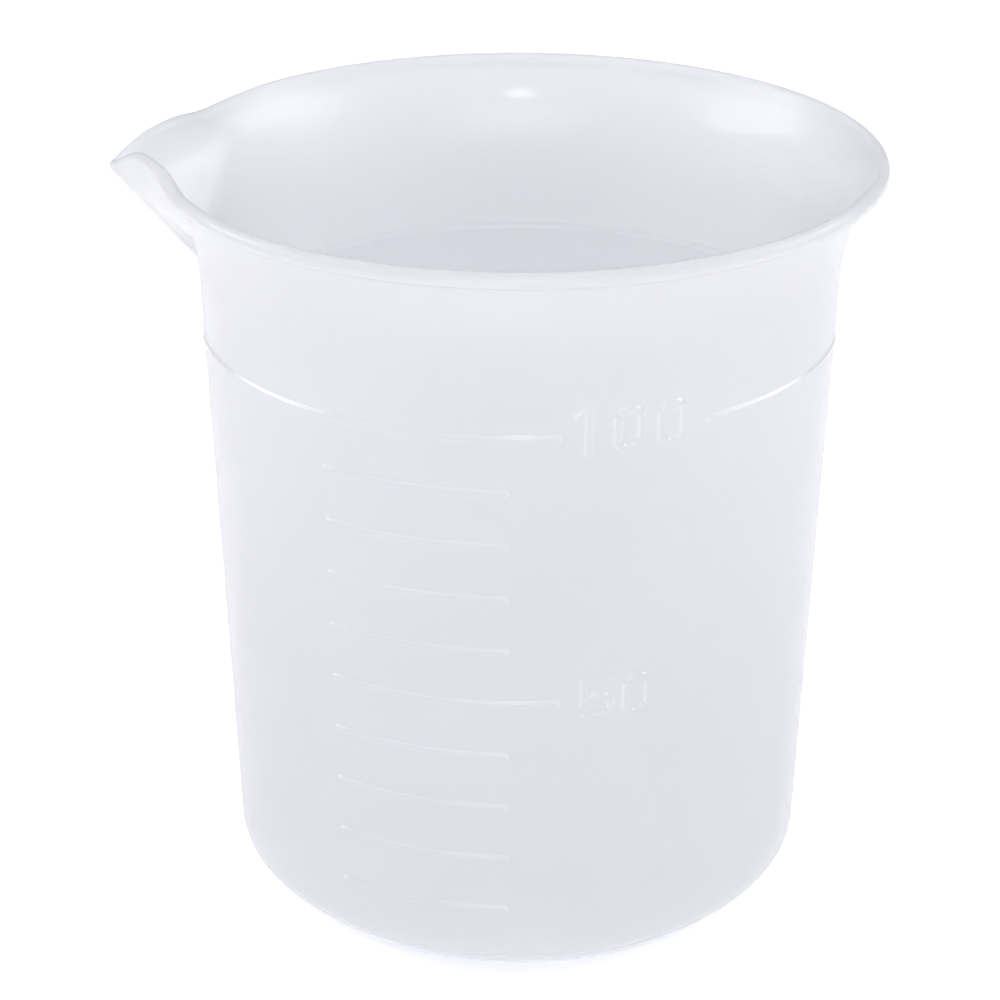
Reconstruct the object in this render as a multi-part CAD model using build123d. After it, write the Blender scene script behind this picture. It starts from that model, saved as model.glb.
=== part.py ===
from build123d import *
from math import atan, atan2, cos, degrees, radians, sin
import os

# A 100 ml low-form pouring beaker, injection moulded in one shot. Millimetres, +Z up.
# The origin is on the beaker's axis, on the plane it rests on. The spout points to -X
# and the graduations face -Y. Azimuths are in degrees from +X, anticlockwise from above.

# Wall
WALL_THICKNESS = 1.0
WALL_R_AT_BASE = 25.65      # outer radius of the wall's cone, carried down to z = 0
DRAFT = 0.031               # growth of that radius per mm of height

# Base
FOOT_HEIGHT = 1.4
FOOT_R_OUT = 23.1
FOOT_R_IN = 21.7
FOOT_DRAFT = 0.2
FLOOR_TOP = 2.6
HEEL_R_OUT = 2.3
HEEL_R_IN = 1.6

# Flared top
FLARE_START = 57.2          # height at which the wall starts to curl outward
FLARE_R = 13.5              # radius of that curl on the outer face
FLARE_TURN = 39.0           # degrees that the wall turns through, up to the rim
BEAD_R = 0.65               # radius of the rounded lip

# Pouring spout: a V channel pressed out of the flare
SPOUT_HALF_ANGLE = 57.0     # plan angle of each flank from -X
SPOUT_REACH = 34.75         # axis to the sharp corner of the V, at the channel's top
SPOUT_KEEL_TOP = 64.8       # height where the sloping keel ends and the lip begins
SPOUT_KEEL_SLOPE = 0.873    # outward run of the keel per mm of height
SPOUT_KEEL_FOOT = 55.0      # height inside the wall from which the keel is drawn
SPOUT_NOSE_R = 1.2
SPOUT_PLAN_WALL = 1.2       # wall of the channel, measured level
SPOUT_BACK = 26.0           # the V is drawn back to this distance from the axis
SPOUT_TIP_Z = 65.3          # height of the lip at the tip
SPOUT_SHOULDER = (-31.4, 67.1)   # x and z of the lip's highest point, beside the tip
SPOUT_ROOT_X = -28.9        # where the lip comes back down to the rim

# Graduations: flat-topped raised strokes on the wall's cone
RELIEF = 0.2
STROKE = 0.6
FULL_MARK_Z = 51.57         # height of the 100 ml ring
FIRST_MARK_Z = 7.52         # height of the 10 ml mark
MARK_START = -125.4         # azimuth of the left end of every short mark
MARK_SPAN = 33.8
LONG_MARK_SPAN = 43.0
RING_START = -57.0          # the ring is open from here back to the numeral's left side
RING_SPAN = 334.0

# Numerals: x runs to the reader's right from a digit's middle, y runs up
FULL_NUMERAL_Z = 52.0
FULL_NUMERAL_AZIMUTHS = (-78.45, -71.5, -63.75)
HALF_NUMERAL_Z = 27.83
HALF_NUMERAL_AZIMUTHS = (-75.9, -68.3)
DIGIT_HEIGHT = 4.0
ZERO_WIDTH = 2.6
FLAG_REACH = 1.15           # how far the one's flag reaches to the left, and how far it falls
FLAG_FALL = 0.35
FIVE_LEFT = -1.06           # the five's upright
FIVE_RIGHT = 1.24           # right end of its top bar
FIVE_STEM_FOOT = -0.3       # lower end of the upright, beside the bowl's start
FIVE_TAIL_DROP = 1.2        # how far below the middle the five's tail ends
BOWL_X = 0.2
BOWL_R = 1.02               # radius of the bowl, to the middle of its stroke
BOWL_START = 140            # degrees that the bowl starts at, and that it turns through
BOWL_TURN = -255


def wall_radius(z):
    """Outer radius of the wall's cone at height z."""
    return WALL_R_AT_BASE + DRAFT * z


def mark_height(volume):
    """Height of the mark for a volume in ml.

    The wall widens upwards, so equal volumes take up less and less height. The contents
    up to a height z grow as the cube of the radius there, which is solved back for z.
    """
    def cube(z):
        return (wall_radius(z) - WALL_THICKNESS) ** 3

    share = (volume - 10) / 90
    wanted = cube(FIRST_MARK_Z) + share * (cube(FULL_MARK_Z) - cube(FIRST_MARK_Z))
    return (wanted ** (1 / 3) + WALL_THICKNESS - WALL_R_AT_BASE) / DRAFT


def revolved(outline):
    """The solid that a closed outline in the XZ plane sweeps out round the axis."""
    return revolve(make_face(outline), Axis.Z)


def cylinder(radius, low, high):
    """A plain cylinder on the axis between two heights."""
    return Pos(0, 0, (low + high) / 2) * Cylinder(radius, high - low)


# ---------------------------------------------------------------- solids of revolution

draft_angle = degrees(atan(DRAFT))
lean = radians(draft_angle)
flare_root = Vector(wall_radius(FLARE_START), 0, FLARE_START)
inner_root = flare_root - Vector(cos(lean), 0, -sin(lean)) * WALL_THICKNESS
flare_centre = flare_root + Vector(cos(lean), 0, -sin(lean)) * FLARE_R
rim_angle = radians(draft_angle + FLARE_TURN)


def on_flare(radius, angle):
    """A point at an angle round the flare's centre, at a given radius from it."""
    return flare_centre + Vector(-cos(angle), 0, sin(angle)) * radius


def flare_arc(radius):
    """An arc about the flare's centre, from the wall to the rim."""
    middle = (lean + rim_angle) / 2
    return ThreePointArc(on_flare(radius, lean), on_flare(radius, middle), on_flare(radius, rim_angle))


def vessel_solid():
    """Foot, floor, wall and flare as one solid, without the lip's bead."""
    inner_draft = inner_root.X - DRAFT * (FLARE_START - FLOOR_TOP)
    outside = FilletPolyline(
        (FOOT_R_OUT, 0, 0), (FOOT_R_OUT + FOOT_DRAFT, 0, FOOT_HEIGHT),
        (wall_radius(FOOT_HEIGHT), 0, FOOT_HEIGHT), flare_root,
        radius=[0, HEEL_R_OUT])
    inside = FilletPolyline(
        inner_root, (inner_draft, 0, FLOOR_TOP), (0, 0, FLOOR_TOP), radius=HEEL_R_IN)
    underside = Polyline(
        (0, 0, FLOOR_TOP), (0, 0, FOOT_HEIGHT), (FOOT_R_IN, 0, FOOT_HEIGHT),
        (FOOT_R_IN, 0, 0), (FOOT_R_OUT, 0, 0))
    outer_arc = flare_arc(FLARE_R)
    inner_arc = flare_arc(FLARE_R + WALL_THICKNESS)
    edge = Line(outer_arc @ 1, inner_arc @ 1)
    return revolved([*outside.edges(), outer_arc, edge, inner_arc, *inside.edges(), *underside.edges()])


bead_centre = on_flare(FLARE_R + WALL_THICKNESS / 2, rim_angle)
rim_top = bead_centre.Z + BEAD_R

vessel = vessel_solid()
bead_ring = Pos(0, 0, bead_centre.Z) * Torus(bead_centre.X, BEAD_R)

foot_ring = vessel & cylinder(WALL_R_AT_BASE, 0, FOOT_HEIGHT)
base_floor = vessel & cylinder(FOOT_R_IN, FOOT_HEIGHT, FLOOR_TOP)
body_wall = (vessel & cylinder(SPOUT_REACH, FOOT_HEIGHT, FLARE_START)) - base_floor
whole_collar = (vessel & cylinder(SPOUT_REACH, FLARE_START, rim_top)) - bead_ring


# ---------------------------------------------------------------- spout

def spout_outline(z, inset):
    """The V of the channel at height z, set in from the outer face by a level distance."""
    half = radians(SPOUT_HALF_ANGLE)
    run = SPOUT_KEEL_SLOPE * (min(z, SPOUT_KEEL_TOP) - SPOUT_KEEL_TOP)
    corner = -SPOUT_REACH - run + inset / sin(half)
    width = (SPOUT_REACH - SPOUT_BACK) * sin(half) / cos(half)
    back = corner + width * cos(half) / sin(half)
    face = make_face(Polyline((corner, 0, z), (back, width, z), (back, -width, z), close=True))
    nose = face.vertices().sort_by(Axis.X)[0]
    return fillet(nose, SPOUT_NOSE_R - inset / 2)


def spout_block(inset):
    """The V channel as a full solid, drawn from inside the wall to above the lip."""
    above = rim_top + BEAD_R * 2
    keel = loft([spout_outline(SPOUT_KEEL_FOOT, inset), spout_outline(SPOUT_KEEL_TOP, inset)])
    top = extrude(spout_outline(SPOUT_KEEL_TOP, inset), above - SPOUT_KEEL_TOP, dir=(0, 0, 1))
    return keel + top


def under_lip():
    """Everything below the spout's lip, which rises to a shoulder each side of the tip."""
    tip = (-SPOUT_REACH - 1, 0, SPOUT_TIP_Z - 1)
    root = (SPOUT_ROOT_X, 0, rim_top)
    crest = ThreePointArc(tip, (SPOUT_SHOULDER[0], 0, SPOUT_SHOULDER[1]), root)
    low = SPOUT_KEEL_FOOT
    rest = Polyline(root, (0, 0, rim_top), (0, 0, low), (tip[0], 0, low), tip)
    return extrude(make_face([crest, *rest.edges()]), SPOUT_REACH, both=True)


def inside_rim():
    """The space inside the beaker's outer face and inside the bead's inner edge."""
    throat = bead_centre.X - BEAD_R
    low = SPOUT_KEEL_FOOT
    high = rim_top + BEAD_R * 2
    arc = flare_arc(FLARE_R)
    edge = on_flare(FLARE_R + WALL_THICKNESS, rim_angle)
    outline = Polyline(
        arc @ 1, edge, (throat, 0, edge.Z), (throat, 0, high), (0, 0, high),
        (0, 0, low), (wall_radius(low), 0, low), flare_root)
    return revolved([arc, *outline.edges()])


outer_v = spout_block(0)
inner_v = spout_block(SPOUT_PLAN_WALL)
pouring_spout = ((outer_v - inner_v) & under_lip()) - inside_rim()
flared_collar = whole_collar - inner_v
rim_bead = bead_ring - outer_v


# ---------------------------------------------------------------- raised graduations

def wall_skin():
    """A thin conical layer on the wall, as thick as the graduations are high."""
    low, high = FOOT_HEIGHT + HEEL_R_OUT * 2, FLARE_START
    corners = [(wall_radius(low), low), (wall_radius(high), high)]
    near = [(r, 0, z) for r, z in corners]
    far = [(r + RELIEF, 0, z) for r, z in reversed(corners)]
    return revolved(Polyline(*near, *far, close=True).edges())


def on_wall(sketch, azimuth, z):
    """A sketch raised on the wall: x runs to the reader's right, y runs up."""
    facing = Plane(origin=(0, 0, z), x_dir=(-sin(radians(azimuth)), cos(radians(azimuth)), 0),
                   z_dir=(cos(radians(azimuth)), sin(radians(azimuth)), 0))
    return extrude(facing * sketch, wall_radius(FLARE_START) + RELIEF * 2) & skin


def bar(start, end):
    """A straight stroke with square ends."""
    run = Vector(*end) - Vector(*start)
    middle = (Vector(*end) + Vector(*start)) * 0.5
    return Pos(middle.X, middle.Y) * Rectangle(run.length, STROKE, rotation=degrees(atan2(run.Y, run.X)))


def mark(z, span):
    """One level mark, from the marks' common left end."""
    reach = wall_radius(z) * sin(radians(span / 2))
    return on_wall(bar((-reach, 0), (reach, 0)), MARK_START + span / 2, z)


def full_ring(z):
    """The 100 ml line: a band round the wall, open on both sides of its numeral."""
    band = skin & cylinder(SPOUT_REACH, z - STROKE / 2, z + STROKE / 2)
    gap_start = RING_START + RING_SPAN - 360
    side = Plane.XZ.rotated((0, 0, gap_start)) * Pos(SPOUT_REACH / 2, z) * Rectangle(SPOUT_REACH, STROKE * 2)
    return band - revolve(side, Axis.Z, 360 - RING_SPAN)


stroke_top = (DIGIT_HEIGHT - STROKE) / 2     # middle of a level stroke at a digit's top


def digit_zero():
    outside = SlotOverall(DIGIT_HEIGHT, ZERO_WIDTH, rotation=90)
    return outside - SlotOverall(DIGIT_HEIGHT - 2 * STROKE, ZERO_WIDTH - 2 * STROKE, rotation=90)


def digit_one():
    return Rectangle(STROKE, DIGIT_HEIGHT) + bar((0, stroke_top), (-FLAG_REACH, stroke_top - FLAG_FALL))


def digit_five():
    centre = (BOWL_X, BOWL_R - stroke_top)
    bowl = SlotArc(CenterArc(centre, BOWL_R, BOWL_START, BOWL_TURN), STROKE).face()
    upright = bar((FIVE_LEFT, DIGIT_HEIGHT / 2), (FIVE_LEFT, FIVE_STEM_FOOT))
    tail = bar((BOWL_X, -stroke_top), (FIVE_LEFT, -FIVE_TAIL_DROP))
    return bar((FIVE_LEFT, stroke_top), (FIVE_RIGHT, stroke_top)) + upright + bowl + tail


def numeral(volume, digits, azimuths, z):
    """The nodes of one numeral, digit by digit."""
    named = {}
    for place, (sketch, azimuth) in enumerate(zip(digits, azimuths), 1):
        named[f"numeral_{volume}_digit_{place}"] = on_wall(sketch, azimuth, z)
    return named


skin = wall_skin()

nodes = {
    "base_floor": base_floor,
    "foot_ring": foot_ring,
    "body_wall": body_wall,
    "flared_collar": flared_collar,
    "rim_bead": rim_bead,
    "pouring_spout": pouring_spout,
    "graduation_ring_100ml": full_ring(FULL_MARK_Z),
    **numeral(100, (digit_one(), digit_zero(), digit_zero()), FULL_NUMERAL_AZIMUTHS, FULL_NUMERAL_Z),
    **numeral(50, (digit_five(), digit_zero()), HALF_NUMERAL_AZIMUTHS, HALF_NUMERAL_Z),
}
for volume in range(10, 100, 10):
    span = LONG_MARK_SPAN if volume == 50 else MARK_SPAN
    nodes[f"graduation_mark_{volume}ml"] = mark(mark_height(volume), span)

os.makedirs("parts", exist_ok=True)
for name, solid in nodes.items():
    export_step(solid, f"parts/{name}.step")
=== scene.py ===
import math

import bmesh
import bpy
import numpy as np
from mathutils import Matrix, Vector


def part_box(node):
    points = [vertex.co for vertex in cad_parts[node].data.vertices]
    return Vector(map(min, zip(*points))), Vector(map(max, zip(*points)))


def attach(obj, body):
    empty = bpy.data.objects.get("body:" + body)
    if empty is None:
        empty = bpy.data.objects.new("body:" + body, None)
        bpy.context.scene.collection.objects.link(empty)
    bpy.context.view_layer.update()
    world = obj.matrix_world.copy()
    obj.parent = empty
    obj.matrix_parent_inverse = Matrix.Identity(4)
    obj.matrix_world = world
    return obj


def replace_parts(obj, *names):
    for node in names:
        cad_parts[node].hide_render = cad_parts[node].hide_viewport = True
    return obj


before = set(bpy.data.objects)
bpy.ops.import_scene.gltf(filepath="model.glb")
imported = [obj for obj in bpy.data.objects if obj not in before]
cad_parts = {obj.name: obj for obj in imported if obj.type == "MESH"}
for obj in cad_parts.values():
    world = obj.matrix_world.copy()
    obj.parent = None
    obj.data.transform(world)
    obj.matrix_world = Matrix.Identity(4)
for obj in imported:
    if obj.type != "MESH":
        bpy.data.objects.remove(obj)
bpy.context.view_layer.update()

# A 100 ml polypropylene beaker. Metres, in the CAD frame: +Z up, the axis at x = y = 0, the
# spout towards -X and the graduations facing -Y. MM turns millimetres into metres.
MM = 0.001

# ------------------------------------------------------------------ sizes read from the frame

_, foot_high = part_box("foot_ring")
_, floor_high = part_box("base_floor")
_, wall_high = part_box("body_wall")
bead_low, bead_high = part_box("rim_bead")

FOOT_TOP = foot_high.z
FOOT_R_TOP = foot_high.x
FOOT_R_IN = floor_high.x
FLOOR_TOP = floor_high.z
FLARE_START = wall_high.z
FLARE_R_START = wall_high.x
BEAD_R = (bead_high.z - bead_low.z) / 2
RIM_R = bead_high.x - BEAD_R
RIM_Z = bead_high.z - BEAD_R

# ------------------------------------------------------------------ sizes of the moulding

WALL = 1.0 * MM             # wall thickness
DRAFT = 0.031               # growth of the wall's radius per unit of height
HEEL_R = 2.3 * MM           # rounding of the heel, outside and inside
HEEL_R_IN = 1.6 * MM
FOOT_DRAFT = 0.2 * MM       # how much the foot ring narrows towards its resting face
FOOT_EDGE = 0.3 * MM        # rounding of the foot ring's edges
FLARE_R = 13.5 * MM         # radius of the flare on its outer face
LEAN = math.atan(DRAFT)     # the wall's angle from upright
MID_R = FLARE_R + WALL / 2  # radius of the flare in the middle of the wall

SPOUT_SPREAD = 38           # degrees each side of the spout's tip that its shape reaches
SPOUT_FADE = 8              # degrees over which it fades out there
V_NOSE = 0.3 * MM           # rounding of the V's corner
V_CLOSE = 0.575             # how steeply the V's sides close in plan
SETTLE_ROUNDS = 4           # the channel's radius and its width across settle together
SIDE_TOP_Z = 64.4 * MM      # above this height the sides stand upright, while the keel runs on out
SIDE_BEND = 2.0 * MM        # softness of the bend where they become upright
SIDE_WIDTH = 1.7 * MM       # distance across, from the keel to an upright side
KEEL_SET = 0.9 * MM         # the sides close in towards the keel's foot by this much
KEEL_SET_Z = 59.9 * MM      # at this height
KEEL_SET_RUN = 1.2 * MM     # and less and less over this run above it
KEEL_SLOPE = 0.873          # outward run of the keel per unit of height
KEEL_TOP_Z = 64.93 * MM     # where the middle of the keel's wall meets the lip
KEEL_TOP_R = 34.2 * MM
KEEL_FADE = 1.2 * MM        # height over which the keel's foot grows out of the wall
BLEND_DROP = 2.2 * MM       # the spout's shape starts this far below the flare
CREASE = 0.25 * MM          # softness of the crease between spout and wall
SHOULDER_RISE = 0.82 * MM   # the lip climbs on both sides of the tip
SHOULDER_REACH = 24.5       # starting this many degrees from it
SHOULDER_RUN = 14.5         # over this many degrees
TIP_DROP = 1.75 * MM        # and drops at the tip itself
TIP_WIDTH = 3.7             # degrees each side of it
PINCH = 0.36 * MM           # the rim is drawn in on both sides of the spout, between these degrees
PINCH_NEAR, PINCH_NEAR_RUN = 6, 8
PINCH_FAR, PINCH_FAR_RUN = 44, 14

BEAD_END, BEAD_RUN = 17, 9  # degrees from the tip where the bead fades out
BEAD_PROUD = 0.1 * MM       # how far the bead is set towards the outside
BEAD_DEPTH = 0.15 * MM      # how far down from its middle the bead keeps its thickness
BEAD_NECK = 0.55 * MM       # and the run over which it thins to the wall

LINE_LOW_Z = 50.45 * MM     # two hair-fine lines round the bore, just below the 100 ml ring
LINE_HIGH_Z = 51.1 * MM
LINE_HALF = 0.1 * MM        # half a line's width
LINE_RISE = 0.03 * MM
LINE_SECTION = (0, 0.6, 1, 0.6, 0)      # a line's height across its width, as a share of its rise

DENSE_STEP = 0.4            # degrees between columns of the mesh, near the spout
COARSE_STEP = 1.5           # and elsewhere
HUB_R = 0.6 * MM            # a fan of triangles closes each disc inside this radius
DISC_ROWS = 12              # rows of the mesh on each stretch of its profile
HEEL_ROWS, HEEL_ROWS_IN = 14, 12
WALL_ROWS, WALL_ROWS_IN = 22, 20
BLEND_ROWS, BLEND_ROWS_IN = 6, 3
FLARE_ROWS = 44
LIP_ROWS = 16
FOOT_ROWS = 3
FOOT_CORNER_ROWS, FOOT_ROUND_ROWS = 5, 6


def wall_radius(z):
    """Outer radius of the wall's cone."""
    return FLARE_R_START + DRAFT * (z - FLARE_START)


def smooth_max(a, b, softness):
    """The larger of two values, rounded over where they cross."""
    return (a + b + np.sqrt((a - b) ** 2 + softness ** 2)) / 2


def smooth_step(x):
    """A soft step from 0 to 1, while x goes from 0 to 1."""
    x = np.clip(x, 0, 1)
    return x * x * (3 - 2 * x)


def arc(centre, radius, start, end, count):
    """Points on an arc in the (r, z) plane; angles in degrees from +r towards +z."""
    angles = np.radians(np.linspace(start, end, count))
    return np.stack([centre[0] + radius * np.cos(angles), centre[1] + radius * np.sin(angles)], 1)


def line(start, end, count, ends=(True, True)):
    """Points on a straight run, with or without its end points."""
    steps = np.linspace(0, 1, count + 2 - sum(ends))
    steps = steps[0 if ends[0] else 1: len(steps) if ends[1] else -1]
    start, end = np.array(start), np.array(end)
    return start + (end - start) * steps[:, None]


# ------------------------------------------------------------------ vessel

def mesh_object(name, vertices, faces):
    """A smooth-shaded mesh object."""
    mesh = bpy.data.meshes.new(name)
    mesh.from_pydata([tuple(v) for v in vertices], [], faces)
    mesh.update()
    mesh.shade_smooth()
    obj = bpy.data.objects.new(name, mesh)
    bpy.context.scene.collection.objects.link(obj)
    return obj


def column_angles():
    """Angles from the spout's tip, in degrees, closer together near the spout."""
    near = np.arange(-SPOUT_SPREAD, SPOUT_SPREAD, DENSE_STEP)
    far = np.arange(SPOUT_SPREAD, 360 - SPOUT_SPREAD, COARSE_STEP)
    return np.concatenate([near, far])


def signed(angles):
    """The same angles between -180 and 180."""
    return (angles + 180) % 360 - 180


flare_centre = np.array([FLARE_R_START + FLARE_R * math.cos(LEAN), FLARE_START - FLARE_R * math.sin(LEAN)])
rim_turn = math.atan2(RIM_Z - flare_centre[1], flare_centre[0] - RIM_R)
BLEND_Z = FLARE_START - BLEND_DROP


def flare_middle():
    """(r, z) of the middle of the wall, from below the flare up to the rim."""
    straight_end = flare_centre + MID_R * np.array([-math.cos(LEAN), math.sin(LEAN)])
    drop = straight_end[1] - BLEND_Z
    straight_start = straight_end - np.array([DRAFT * drop, drop])
    bend = arc(flare_centre, MID_R, 180 - math.degrees(LEAN), 180 - math.degrees(rim_turn), FLARE_ROWS)
    return np.concatenate([line(straight_start, straight_end, BLEND_ROWS, (True, False)), bend])


def lip_rise(angle):
    """How far the lip stands above the rim's level at an angle from the tip."""
    shoulder = SHOULDER_RISE * smooth_step((SHOULDER_REACH - np.abs(angle)) / SHOULDER_RUN)
    return shoulder - TIP_DROP * np.exp(-(angle / TIP_WIDTH) ** 2)


def channel_radius(angle, z):
    """Radius of the pouring channel's middle surface: a keel, and sides that steepen upwards."""
    reach = KEEL_TOP_R + KEEL_SLOPE * (z - KEEL_TOP_Z)
    set_back = KEEL_SLOPE * smooth_max(z - SIDE_TOP_Z, 0, SIDE_BEND)
    set_back += KEEL_SET * np.exp((KEEL_SET_Z - z) / KEEL_SET_RUN)
    near = np.radians(np.minimum(np.abs(angle), SPOUT_SPREAD))
    radius = reach
    for _ in range(SETTLE_ROUNDS):
        across = radius * np.sin(near)
        side = set_back * (1 - np.exp(-(across / SIDE_WIDTH) ** 2))
        nose = np.hypot(across, V_NOSE) - V_NOSE - across
        radius = (reach - side - V_CLOSE * nose) / (np.cos(near) + V_CLOSE * np.sin(near))
    return radius


def top_surface(angles):
    """Middle surface of the flared top with the spout pressed into it, as columns of points."""
    base = flare_middle()
    height = (base[:, 1] - FLARE_START) / (RIM_Z - FLARE_START)
    share = smooth_step(height)[None, :]
    angle = signed(angles)[:, None]
    z = base[None, :, 1] + lip_rise(angle) * share
    pinch = PINCH * smooth_step((np.abs(angle) - PINCH_NEAR) / PINCH_NEAR_RUN)
    pinch *= smooth_step((PINCH_FAR - np.abs(angle)) / PINCH_FAR_RUN)
    r = base[None, :, 0] - pinch * share
    fade = smooth_step((SPOUT_SPREAD - np.abs(angle)) / SPOUT_FADE) * smooth_step((z - BLEND_Z) / KEEL_FADE)
    blended = smooth_max(r, channel_radius(angle, z), CREASE)
    r = r + (blended - r) * fade
    around = np.radians(180 - angle)
    return np.stack([r * np.cos(around), r * np.sin(around), z], 2)


def surface_normals(points):
    """Outward normals of a grid of points that closes on itself round its first axis."""
    around = np.roll(points, -1, 0) - np.roll(points, 1, 0)
    up = np.gradient(points, axis=1)
    normal = np.cross(up, around)
    return normal / np.linalg.norm(normal, axis=2, keepdims=True)


def witness_line(bore, z):
    """A hair-fine raised line round the bore, whose cone has this radius at z = 0."""
    rise = np.array(LINE_SECTION) * LINE_RISE
    level = z + np.linspace(-1, 1, len(LINE_SECTION)) * LINE_HALF
    return np.stack([bore + DRAFT * level - rise, level], 1)


def inner_profile():
    """(r, z) of the inside, from the floor's middle up to where the spout's shape starts."""
    bore = wall_radius(0) - WALL / math.cos(LEAN)
    heel = (bore + DRAFT * (FLOOR_TOP + HEEL_R_IN) - HEEL_R_IN, FLOOR_TOP + HEEL_R_IN)
    heel_arc = arc(heel, HEEL_R_IN, -90, -math.degrees(LEAN), HEEL_ROWS_IN)
    line_low = (bore + DRAFT * LINE_LOW_Z, LINE_LOW_Z)
    line_high = (bore + DRAFT * LINE_HIGH_Z, LINE_HIGH_Z)
    top = (bore + DRAFT * BLEND_Z, BLEND_Z)
    return np.concatenate([
        line((HUB_R, FLOOR_TOP), (heel[0], FLOOR_TOP), DISC_ROWS, (True, False)),
        heel_arc,
        line(heel_arc[-1], line_low, WALL_ROWS_IN, (False, False)),
        witness_line(bore, LINE_LOW_Z),
        witness_line(bore, LINE_HIGH_Z),
        line(line_high, top, BLEND_ROWS_IN, (False, False)),
    ])


def outer_profile():
    """(r, z) of the outside, from where the spout's shape starts down to the underside's middle."""
    top = (wall_radius(BLEND_Z), BLEND_Z)
    heel = (wall_radius(FOOT_TOP + HEEL_R) - HEEL_R, FOOT_TOP + HEEL_R)
    edge = FOOT_EDGE
    foot_r_out = FOOT_R_TOP - FOOT_DRAFT
    return np.concatenate([
        line(top, (wall_radius(heel[1]), heel[1]), WALL_ROWS, (False, False)),
        arc(heel, HEEL_R, -math.degrees(LEAN), -90, HEEL_ROWS),
        arc((FOOT_R_TOP + edge, FOOT_TOP - edge), edge, 90, 180, FOOT_CORNER_ROWS),
        line((FOOT_R_TOP, FOOT_TOP - edge), (foot_r_out, edge), FOOT_ROWS, (False, False)),
        arc((foot_r_out - edge, edge), edge, 0, -90, FOOT_ROUND_ROWS),
        arc((FOOT_R_IN + edge, edge), edge, 270, 180, FOOT_ROUND_ROWS),
        arc((FOOT_R_IN - edge, FOOT_TOP - edge), edge, 0, 90, FOOT_CORNER_ROWS),
        line((FOOT_R_IN - edge, FOOT_TOP), (HUB_R, FOOT_TOP), DISC_ROWS, (False, True)),
    ])


def spun(profile, angles):
    """A profile turned round the axis, as columns of points."""
    around = np.radians(180 - signed(angles))[:, None]
    turn = np.stack([np.cos(around), np.sin(around)], 2)
    flat = profile[None, :, :1] * turn
    return np.concatenate([flat, np.broadcast_to(profile[None, :, 1:], flat.shape[:2] + (1,))], 2)


def flared_top(angles):
    """Columns up the inside of the flare and spout, over the lip and down the outside.

    The lip is a bead round the wall's end, set a little towards the outside."""
    middle = top_surface(angles)
    normal = surface_normals(middle)
    height = np.linalg.norm(np.diff(middle, axis=1), axis=2)
    to_lip = np.concatenate([np.cumsum(height[:, ::-1], 1)[:, ::-1], np.zeros((len(angles), 1))], 1)
    swell = smooth_step(1 - (to_lip - BEAD_DEPTH) / BEAD_NECK)[:, :, None]
    full = 1 - smooth_step((BEAD_END - np.abs(signed(angles))) / BEAD_RUN)[:, None]
    proud = BEAD_PROUD * full
    bead_r = WALL / 2 + (BEAD_R - WALL / 2) * full
    outward = WALL / 2 + (bead_r + proud - WALL / 2)[:, None] * swell
    inward = WALL / 2 + (bead_r - proud - WALL / 2)[:, None] * swell
    up = middle[:, -1] - middle[:, -2]
    up /= np.linalg.norm(up, axis=1, keepdims=True)
    across = normal[:, -1]
    centre = middle[:, -1] + across * proud
    bend = np.radians(np.linspace(0, 180, LIP_ROWS))[None, 1:-1, None]
    lip = centre[:, None] + bead_r[:, None] * (-across[:, None] * np.cos(bend) + up[:, None] * np.sin(bend))
    inside = middle - normal * inward
    outside = (middle + normal * outward)[:, ::-1]
    return np.concatenate([inside, lip, outside], 1)


def vessel_columns():
    """Every column of the vessel's closed skin, from the floor's middle round to the underside's."""
    angles = column_angles()
    inner, outer = spun(inner_profile(), angles), spun(outer_profile(), angles)
    return np.concatenate([inner, flared_top(angles), outer], 1)


def closed_grid(columns):
    """Vertices and faces of columns that close round the axis, capped at both ends."""
    count, rows = columns.shape[:2]
    vertices = list(columns.reshape(-1, 3))
    faces = []
    for i in range(count):
        j = (i + 1) % count
        for k in range(rows - 1):
            faces.append((i * rows + k, j * rows + k, j * rows + k + 1, i * rows + k + 1))
    for row, flip in ((0, False), (rows - 1, True)):
        centre = len(vertices)
        vertices.append(np.array([0, 0, columns[0, row, 2]]))
        for i in range(count):
            j = (i + 1) % count
            ring = (i * rows + row, j * rows + row)
            faces.append((centre, *(ring if flip else ring[::-1])))
    return vertices, faces


vessel = mesh_object("vessel", *closed_grid(vessel_columns()))
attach(vessel, "root")
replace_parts(vessel, "base_floor", "foot_ring", "body_wall", "flared_collar", "rim_bead", "pouring_spout")

# ------------------------------------------------------------------ raised graduations

# The marks and numerals are flat bands moulded proud of the wall, with soft flanks.
RELIEF = 0.2 * MM           # how far a band's flat top stands off the wall
FOOT_HALF = 0.4 * MM        # half the width of a band at its foot
FLANK = 0.2 * MM            # width of a flank in plan
ROOT_GAP = 0.004 * MM       # a band's root stands just clear of the wall
FOOT_RISE = 0.008 * MM      # and its flanks start this much above the root
END_R = 0.26 * MM           # rounding of a band's corners in plan, more than a flank's width
FLANK_STEPS = 6             # outlines up a flank
SHARP_TURN = math.radians(25)        # corners that turn more than this are shaded as edges
MARK_STEP = 1.0             # degrees between a mark's cross-sections
TOP_SLOT, FLANK_SLOT = 0, 1  # material slots of a band's flat top and of its flanks; the flanks' material carries a painted sheen

FIRST_MARK_ML, FULL_MARK_ML = 10, 100
FIRST_MARK_Z = 7.52 * MM
FULL_MARK_Z = 51.57 * MM
MARK_START = -125.4         # azimuths, in degrees from +X anticlockwise
MARK_SPAN = 33.8
LONG_MARK_SPAN = 43.0
RING_START = -57.0
RING_SPAN = 334

bands = []


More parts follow.
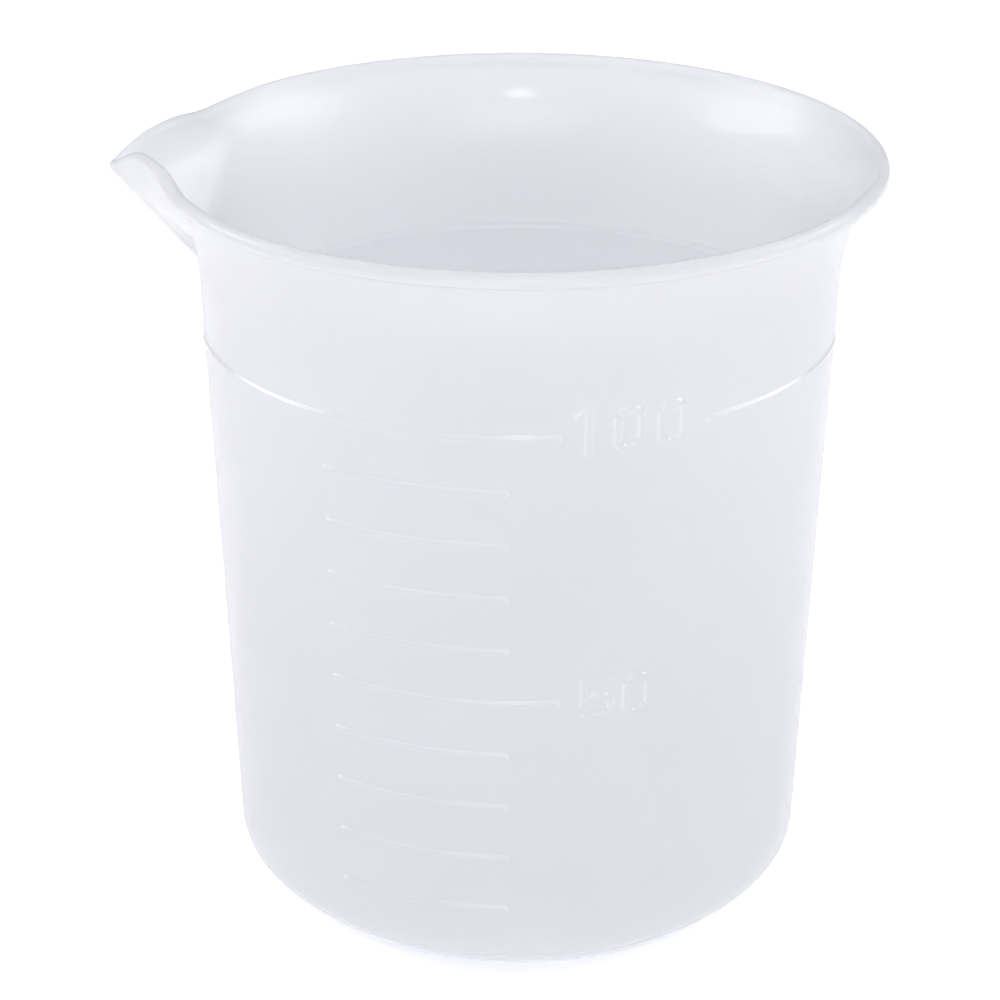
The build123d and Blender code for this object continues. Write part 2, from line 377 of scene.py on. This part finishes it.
def corner_vectors(loop):
    """For each point of a closed loop, the step to its left that moves both its edges by one."""
    before = loop - np.roll(loop, 1, 0)
    after = np.roll(loop, -1, 0) - loop
    before /= np.linalg.norm(before, axis=1, keepdims=True)
    after /= np.linalg.norm(after, axis=1, keepdims=True)
    left = np.stack([-before[:, 1], before[:, 0]], 1) + np.stack([-after[:, 1], after[:, 0]], 1)
    cosine = (before * after).sum(1)
    turn = np.arccos(np.clip(cosine, -1, 1))
    return left / (1 + cosine)[:, None], turn


def flank_levels():
    """(inset, height) of the outlines of a band, from its root up its flank to its flat top."""
    climb = np.linspace(0, 1, FLANK_STEPS)
    foot = ROOT_GAP + FOOT_RISE
    return [(0, ROOT_GAP)] + [(FLANK * t, foot + (RELIEF - foot) * smooth_step(t)) for t in climb]


def band(name, rails, azimuth, z, closed=False):
    """A raised band on the wall between two rails of (across, up) points, the right one first.

    Each outline of the band is a ring of points: the rings climb its flank from root to flat top."""
    right, left = (np.array(rail, float) for rail in rails)
    loops = [right, left[::-1]] if closed else [np.concatenate([right, left[::-1]])]
    built = bmesh.new()

    def vertex(point, height):
        level = z + point[1]
        radius = wall_radius(level) + height
        turn = math.radians(azimuth) + point[0] / wall_radius(z)
        return built.verts.new((radius * math.cos(turn), radius * math.sin(turn), level))

    ends = {}
    for number, loop in enumerate(loops):
        vectors, turns = corner_vectors(loop)
        rings = [[vertex(q, height) for q in loop + vectors * inset] for inset, height in flank_levels()]
        count = len(loop)
        for ring, following in zip(rings, rings[1:]):
            for i in range(count):
                j = (i + 1) % count
                built.faces.new((ring[i], ring[j], following[j], following[i])).material_index = FLANK_SLOT
        for ring in rings:
            ends.setdefault(number, []).append(ring)
        for i in np.flatnonzero(turns > SHARP_TURN):
            for ring, following in zip(rings, rings[1:]):
                built.edges.get((ring[i], following[i])).smooth = False
        for ring in (rings[1], rings[-1]):
            for i in range(count):
                built.edges.get((ring[i], ring[(i + 1) % count])).smooth = False
    for level in (0, -1):
        if closed:
            near, far = ends[0][level], ends[1][level][::-1]
        else:
            near, far = ends[0][level][:len(right)], ends[0][level][len(right):][::-1]
        pairs = list(zip(near, far))
        for (a, b), (c, d) in zip(pairs, pairs[1:] + (pairs[:1] if closed else [])):
            built.faces.new((a, c, d, b) if level else (b, d, c, a))
    mesh = bpy.data.meshes.new(name)
    built.to_mesh(mesh)
    built.free()
    mesh.shade_smooth()
    obj = bpy.data.objects.new(name, mesh)
    bpy.context.scene.collection.objects.link(obj)
    obj.visible_shadow = False      # a band is one with the wall, so it casts no shade on it
    obj.visible_diffuse = False
    obj.visible_transmission = False
    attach(obj, "root")
    bands.append(obj)
    return obj


def end_stations(at, back, half):
    """Pairs of rail points, right and left, that round off a band's square end.

    back is the direction along the band, away from its end."""
    at, back = np.array(at, float), np.array(back, float)
    side = np.array([-back[1], back[0]])
    nook = END_R * (1 - math.sqrt(0.5))
    rows = ((0, half - END_R), (nook, half - nook), (END_R, half))
    return [(at + back * run - side * width, at + back * run + side * width) for run, width in rows]


def swept(path, half=FOOT_HALF):
    """Rails each side of a path, mitred at its corners and squared off at its ends."""
    path = np.array(path, float)
    step = np.diff(path, axis=0)
    step /= np.linalg.norm(step, axis=1, keepdims=True)
    rails = end_stations(path[0], step[0], half)
    for i in range(1, len(path) - 1):
        normal = np.array([-step[i - 1][1] - step[i][1], step[i - 1][0] + step[i][0]])
        normal /= 1 + step[i - 1] @ step[i]
        rails.append((path[i] - normal * half, path[i] + normal * half))
    rails += [(right, left) for left, right in end_stations(path[-1], -step[-1], half)][::-1]
    return [right for right, _ in rails], [left for _, left in rails]


def swept_loop(path, half=FOOT_HALF):
    """Rails each side of a closed path that runs anticlockwise."""
    path = np.array(path, float)
    vectors, _ = corner_vectors(path)
    return path - vectors * half, path + vectors * half


def mark(name, z, span, start=MARK_START):
    """A level band round part of the wall."""
    run = math.radians(span) * wall_radius(z)
    along = np.linspace(0, run, max(2, round(span / MARK_STEP)))
    return band(name, swept([(x, 0) for x in along]), start, z)


def mark_height(millilitres):
    """Where the level stands when the beaker holds that much: the bore is a slender cone."""
    bore = wall_radius(0) - WALL
    low, high = (bore + DRAFT * FIRST_MARK_Z) ** 3, (bore + DRAFT * FULL_MARK_Z) ** 3
    cube = low + (high - low) * (millilitres - FIRST_MARK_ML) / (FULL_MARK_ML - FIRST_MARK_ML)
    return (cube ** (1 / 3) - bore) / DRAFT


for volume in range(FIRST_MARK_ML, FULL_MARK_ML, FIRST_MARK_ML):
    span = LONG_MARK_SPAN if 2 * volume == FULL_MARK_ML else MARK_SPAN
    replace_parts(mark(f"raised_mark_{volume}ml", mark_height(volume), span), f"graduation_mark_{volume}ml")
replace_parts(mark("raised_ring_100ml", FULL_MARK_Z, RING_SPAN, RING_START), "graduation_ring_100ml")

TOP = 2.0 * MM              # half a numeral's height, to the middle of its flanks
MID_HALF = FOOT_HALF - FLANK / 2     # a band's half width at the middle of its flanks
LINE_TOP = TOP - MID_HALF   # height of the centre line of a level stroke at the top
ZERO_HALF = 1.0 * MM        # half width of a zero along its centre line
FULL_NUMERAL_Z = 52.0 * MM
HALF_NUMERAL_Z = 27.83 * MM
FULL_AZIMUTHS = (-78.45, -71.5, -63.75)      # degrees from +X anticlockwise, one for each digit
HALF_AZIMUTHS = (-75.9, -68.3)
ROUND_POINTS = 25           # points on a zero's round end
BOWL_POINTS = 30            # and on a five's bowl


def zero_rails():
    """A zero: straight sides and round ends."""
    bend = LINE_TOP - ZERO_HALF
    angles = np.radians(np.linspace(0, 180, ROUND_POINTS))
    top = [(ZERO_HALF * math.cos(a), bend + ZERO_HALF * math.sin(a)) for a in angles]
    bottom = [(-x, -y) for x, y in top]
    return swept_loop(top + bottom)


def one_rails():
    """A one: an upright, and a narrower flag that falls away to the left."""
    outer = TOP + FLANK / 2
    rails = end_stations((0, -outer), (0, 1), FOOT_HALF)
    rails.append(((FOOT_HALF, outer), (-FOOT_HALF, 1.36 * MM)))         # the upright's top corner
    rails.append(((-0.12 * MM, outer), (-0.52 * MM, 1.31 * MM)))        # the flag's root
    rails.append(((-1.22 * MM, 1.66 * MM), (-1.12 * MM, 1.05 * MM)))    # and its end
    return [right for right, _ in rails], [left for _, left in rails]


def five_rails():
    """A five: a level bar, an upright, and a round bowl that ends in a straight tail."""
    bar_end = (1.24 * MM, LINE_TOP)
    stem_x, stem_foot = -1.06 * MM, 0.05 * MM
    centre, radius = np.array((0.2 * MM, -TOP + 1.33 * MM)), 1.02 * MM
    start, end = 117, -115
    angles = np.radians(np.linspace(start, end, BOWL_POINTS))
    bowl = [centre + radius * np.array((math.cos(a), math.sin(a))) for a in angles]
    tail = np.array((-1.22 * MM, -1.1 * MM))
    return swept([bar_end, (stem_x, LINE_TOP), (stem_x, stem_foot), *bowl, tail])


def digit(number, index, rails, azimuth, z, closed=False):
    """One raised digit of a numeral, centred at an azimuth and a height."""
    piece = band(f"raised_{number}_digit_{index}", rails, azimuth, z, closed)
    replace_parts(piece, f"numeral_{number}_digit_{index}")


digit(100, 1, one_rails(), FULL_AZIMUTHS[0], FULL_NUMERAL_Z)
digit(100, 2, zero_rails(), FULL_AZIMUTHS[1], FULL_NUMERAL_Z, True)
digit(100, 3, zero_rails(), FULL_AZIMUTHS[2], FULL_NUMERAL_Z, True)
digit(50, 1, five_rails(), HALF_AZIMUTHS[0], HALF_NUMERAL_Z)
digit(50, 2, zero_rails(), HALF_AZIMUTHS[1], HALF_NUMERAL_Z, True)

# ------------------------------------------------------------------ materials

BASE_COLOR = (0.932, 0.932, 0.965)
HAZE_COLOR = (0.946, 0.946, 0.974)
TRANSMISSION = 0.35
ROUGH_LOW = 0.42
ROUGH_HIGH = 0.5
SUBSURFACE = 1.0
SUBSURFACE_SCALE = 0.004
COAT = 0.5
COAT_ROUGHNESS = 0.15
PLASTIC_IOR = 1.49
HAZE_SCALE = 70             # cloudy patches of about 15 mm in the plastic
HAZE_DETAIL = 3
HAZE_STOPS = (0.35, 0.65)   # noise values at which the two colours are reached
GRAIN_SCALE = 2600          # and the fine grain of the mould's surface
GRAIN_DETAIL = 2
GRAIN_HEIGHT = 0.004 * MM
GRAIN_STRENGTH = 0.25
RELIEF_COLOR = (0.98, 0.98, 0.99)
RELIEF_HAZE_COLOR = (0.99, 0.99, 1.0)
RELIEF_IOR = 1.01
TOP_COAT = 0.5
FLANK_SHEEN_COAT = 1.0            # painted sheen: the flanks get a fuller coat than the flat tops
# The flanks' coat is far more reflective than the plastic's, a painted sheen that draws them as bright
# lines.
FLANK_SHEEN_COAT_IOR = 2.3


def polypropylene(name, colors):
    """Milky moulded plastic: a faint haze in its colour and a fine grain in its gloss."""
    material = bpy.data.materials.new(name)
    material.use_nodes = True
    nodes, links = material.node_tree.nodes, material.node_tree.links
    shader = nodes["Principled BSDF"]
    shader.inputs["IOR"].default_value = PLASTIC_IOR
    shader.inputs["Transmission Weight"].default_value = TRANSMISSION
    shader.inputs["Subsurface Weight"].default_value = SUBSURFACE
    shader.inputs["Subsurface Scale"].default_value = SUBSURFACE_SCALE
    shader.inputs["Subsurface Radius"].default_value = (1, 1, 1)
    shader.inputs["Coat Weight"].default_value = COAT
    shader.inputs["Coat Roughness"].default_value = COAT_ROUGHNESS
    shader.inputs["Coat IOR"].default_value = PLASTIC_IOR

    place = nodes.new("ShaderNodeTexCoord")
    haze = nodes.new("ShaderNodeTexNoise")
    haze.inputs["Scale"].default_value = HAZE_SCALE
    haze.inputs["Detail"].default_value = HAZE_DETAIL
    tint = nodes.new("ShaderNodeValToRGB")
    for stop, position, color in zip(tint.color_ramp.elements, HAZE_STOPS, colors):
        stop.position = position
        stop.color = (*color, 1)
    grain = nodes.new("ShaderNodeTexNoise")
    grain.inputs["Scale"].default_value = GRAIN_SCALE
    grain.inputs["Detail"].default_value = GRAIN_DETAIL
    gloss = nodes.new("ShaderNodeMapRange")
    gloss.inputs["To Min"].default_value = ROUGH_LOW
    gloss.inputs["To Max"].default_value = ROUGH_HIGH
    bump = nodes.new("ShaderNodeBump")
    bump.inputs["Strength"].default_value = GRAIN_STRENGTH
    bump.inputs["Distance"].default_value = GRAIN_HEIGHT
    links.new(place.outputs["Object"], haze.inputs["Vector"])
    links.new(place.outputs["Object"], grain.inputs["Vector"])
    links.new(haze.outputs["Fac"], tint.inputs["Fac"])
    links.new(tint.outputs["Color"], shader.inputs["Base Color"])
    links.new(grain.outputs["Fac"], gloss.inputs["Value"])
    links.new(gloss.outputs["Result"], shader.inputs["Roughness"])
    links.new(grain.outputs["Fac"], bump.inputs["Height"])
    links.new(bump.outputs["Normal"], shader.inputs["Normal"])
    return material


plastic = polypropylene("polypropylene", (BASE_COLOR, HAZE_COLOR))

# The foot ring gets a shaded copy of the plastic, without subsurface scattering, so that it renders darker
# than the wall: painted shade on the same plastic.
shaded_foot_plastic = polypropylene("polypropylene_shaded_foot", (BASE_COLOR, HAZE_COLOR))
shader = shaded_foot_plastic.node_tree.nodes["Principled BSDF"]
shader.inputs["Subsurface Weight"].default_value = 0

WALL_SLOT, SHADED_FOOT_SLOT = 0, 1          # the vessel's material slots
vessel.data.materials.append(plastic)
vessel.data.materials.append(shaded_foot_plastic)
# Faces of the foot ring take the shaded copy of the plastic: painted shade.
for face in vessel.data.polygons:
    on_ring = math.hypot(face.center.x, face.center.y) > FOOT_R_IN - 2 * FOOT_EDGE
    face.material_index = SHADED_FOOT_SLOT if face.center.z < FOOT_TOP and on_ring else WALL_SLOT


def clear_relief(name, coat, coat_ior):
    """Light passes straight through a band into the wall that it belongs to: only its gloss shows."""
    material = polypropylene(name, (RELIEF_COLOR, RELIEF_HAZE_COLOR))
    shader = material.node_tree.nodes["Principled BSDF"]
    material.node_tree.links.remove(shader.inputs["Roughness"].links[0])
    shader.inputs["Roughness"].default_value = 0
    shader.inputs["IOR"].default_value = RELIEF_IOR
    shader.inputs["Transmission Weight"].default_value = 1
    shader.inputs["Subsurface Weight"].default_value = 0
    shader.inputs["Coat Weight"].default_value = coat
    shader.inputs["Coat IOR"].default_value = coat_ior
    return material


relief_top = clear_relief("polypropylene_relief", TOP_COAT, PLASTIC_IOR)
# The flanks get a glossier copy of the relief material: painted sheen.
relief_flank_sheen = clear_relief("polypropylene_flank_sheen", FLANK_SHEEN_COAT, FLANK_SHEEN_COAT_IOR)
for piece in bands:
    piece.data.materials.append(relief_top)
    piece.data.materials.append(relief_flank_sheen)

# ------------------------------------------------------------------ stage, light and camera

FLOOR_HALF = 1.2            # half the floor's width
FLOOR_GLOW = 0.23
FLOOR_WHITE = 0.95
FLOOR_GREY = 0.93
FLOOR_ROUGHNESS = 0.9
PAPER_SCALE = 400           # the floor's paper has a faint mottle
corners = [(x * FLOOR_HALF, y * FLOOR_HALF, 0) for x, y in ((-1, -1), (1, -1), (1, 1), (-1, 1))]
floor = mesh_object("floor", corners, [(0, 1, 2, 3)])
floor_material = bpy.data.materials.new("floor")
floor_material.use_nodes = True
nodes, links = floor_material.node_tree.nodes, floor_material.node_tree.links
shader = nodes["Principled BSDF"]
shader.inputs["Roughness"].default_value = FLOOR_ROUGHNESS
shader.inputs["Emission Color"].default_value = (1, 1, 1, 1)
shader.inputs["Emission Strength"].default_value = FLOOR_GLOW
paper = nodes.new("ShaderNodeTexNoise")
paper.inputs["Scale"].default_value = PAPER_SCALE
shade = nodes.new("ShaderNodeValToRGB")
shade.color_ramp.elements[0].color = (FLOOR_GREY, FLOOR_GREY, FLOOR_GREY, 1)
shade.color_ramp.elements[1].color = (FLOOR_WHITE, FLOOR_WHITE, FLOOR_WHITE, 1)
links.new(nodes.new("ShaderNodeTexCoord").outputs["Object"], paper.inputs["Vector"])
links.new(paper.outputs["Fac"], shade.inputs["Fac"])
links.new(shade.outputs["Color"], shader.inputs["Base Color"])
floor.data.materials.append(floor_material)

# The studio's dome is darker at the horizon than overhead.
DOME_LOW = math.sin(math.radians(5))
DOME_HIGH = math.sin(math.radians(49))
DOME_LOW_COLOR = (0.41, 0.42, 0.45, 1)
DOME_HIGH_COLOR = (0.92, 0.93, 1.0, 1)
DOME_STRENGTH = 0.79
world = bpy.data.worlds.new("studio")
world.use_nodes = True
nodes, links = world.node_tree.nodes, world.node_tree.links
height = nodes.new("ShaderNodeSeparateXYZ")
dome = nodes.new("ShaderNodeValToRGB")
steps = ((DOME_LOW, DOME_LOW_COLOR), (DOME_HIGH, DOME_HIGH_COLOR))
for stop, (position, color) in zip(dome.color_ramp.elements, steps):
    stop.position = position
    stop.color = color
links.new(nodes.new("ShaderNodeTexCoord").outputs["Generated"], height.inputs["Vector"])
links.new(height.outputs["Z"], dome.inputs["Fac"])
links.new(dome.outputs["Color"], nodes["Background"].inputs["Color"])
nodes["Background"].inputs["Strength"].default_value = DOME_STRENGTH
bpy.context.scene.world = world


def soft_box(name, location, size, power):
    """A rectangular soft light that faces the beaker's middle."""
    light = bpy.data.lights.new(name, "AREA")
    light.shape = "RECTANGLE"
    light.size, light.size_y = size
    light.energy = power
    obj = bpy.data.objects.new(name, light)
    obj.location = location
    obj.rotation_euler = (MIDDLE - Vector(location)).to_track_quat("-Z", "Y").to_euler()
    bpy.context.scene.collection.objects.link(obj)


MIDDLE = Vector((0, 0, 0.04))
SIDE_BOX_X, SIDE_BOX_Y, SIDE_BOX_Z = 0.6, 0.09, 0.39     # the flare mirrors one box on each side
SIDE_BOX_SIZE = (0.5, 0.26)
LEFT_POWER, RIGHT_POWER = 1.15, 1.1
soft_box("left_box", (-SIDE_BOX_X, SIDE_BOX_Y, SIDE_BOX_Z), SIDE_BOX_SIZE, LEFT_POWER)
soft_box("right_box", (SIDE_BOX_X, SIDE_BOX_Y, SIDE_BOX_Z), SIDE_BOX_SIZE, RIGHT_POWER)
TOP_BOX_Z, TOP_BOX_SIZE, TOP_POWER = 1.0, (1.5, 1.5), 1.2
soft_box("top_box", (0, 0, TOP_BOX_Z), TOP_BOX_SIZE, TOP_POWER)
FRONT_BOX_Y, FRONT_BOX_Z, FRONT_BOX_SIZE, FRONT_POWER = -0.9, 0.3, (0.8, 0.4), 1.75
soft_box("front_box", (0, FRONT_BOX_Y, FRONT_BOX_Z), FRONT_BOX_SIZE, FRONT_POWER)
GLINT_BOX_Y, GLINT_BOX_Z, GLINT_BOX_SIZE, GLINT_POWER = -0.87, 0.74, (0.15, 0.1), 0.7
soft_box("glint_box", (0, GLINT_BOX_Y, GLINT_BOX_Z), GLINT_BOX_SIZE, GLINT_POWER)

# The camera looks along +Y, down at the beaker.
CAMERA_ELEVATION = math.radians(26.33)
CAMERA_DISTANCE = 240.05 * MM
CAMERA_AIM_Z = 27.25 * MM
CAMERA_LENS = 95.27         # millimetres, on a sensor this wide
CAMERA_SENSOR = 36
CAMERA_CLIP = 0.01
CAMERA_PAN = math.radians(0.398)     # the aim point stands this far right of the picture's middle
CAMERA_TILT = math.radians(1.428)    # and this far below it
CAMERA_ROLL = math.radians(-0.265)

camera_data = bpy.data.cameras.new("camera")
camera_data.sensor_width = CAMERA_SENSOR
camera_data.lens = CAMERA_LENS
camera_data.clip_start = CAMERA_CLIP
camera = bpy.data.objects.new("camera", camera_data)
aim = Vector((0, 0, CAMERA_AIM_Z))
back = Vector((0, -math.cos(CAMERA_ELEVATION), math.sin(CAMERA_ELEVATION)))
look = Matrix.Rotation(math.radians(90) - CAMERA_ELEVATION, 4, "X")
turn = Matrix.Rotation(CAMERA_PAN, 4, "Y") @ Matrix.Rotation(CAMERA_TILT, 4, "X")
camera.matrix_world = (Matrix.Translation(aim + back * CAMERA_DISTANCE) @ look @ turn
                       @ Matrix.Rotation(-CAMERA_ROLL, 4, "Z"))
bpy.context.scene.collection.objects.link(camera)
bpy.context.scene.camera = camera
bpy.context.scene.view_settings.view_transform = "Standard"

# Light is scattered many times inside a translucent wall.
LIGHT_BOUNCES = 24
cycles = bpy.context.scene.cycles
cycles.max_bounces = LIGHT_BOUNCES
cycles.diffuse_bounces = LIGHT_BOUNCES
cycles.glossy_bounces = LIGHT_BOUNCES
cycles.transmission_bounces = LIGHT_BOUNCES
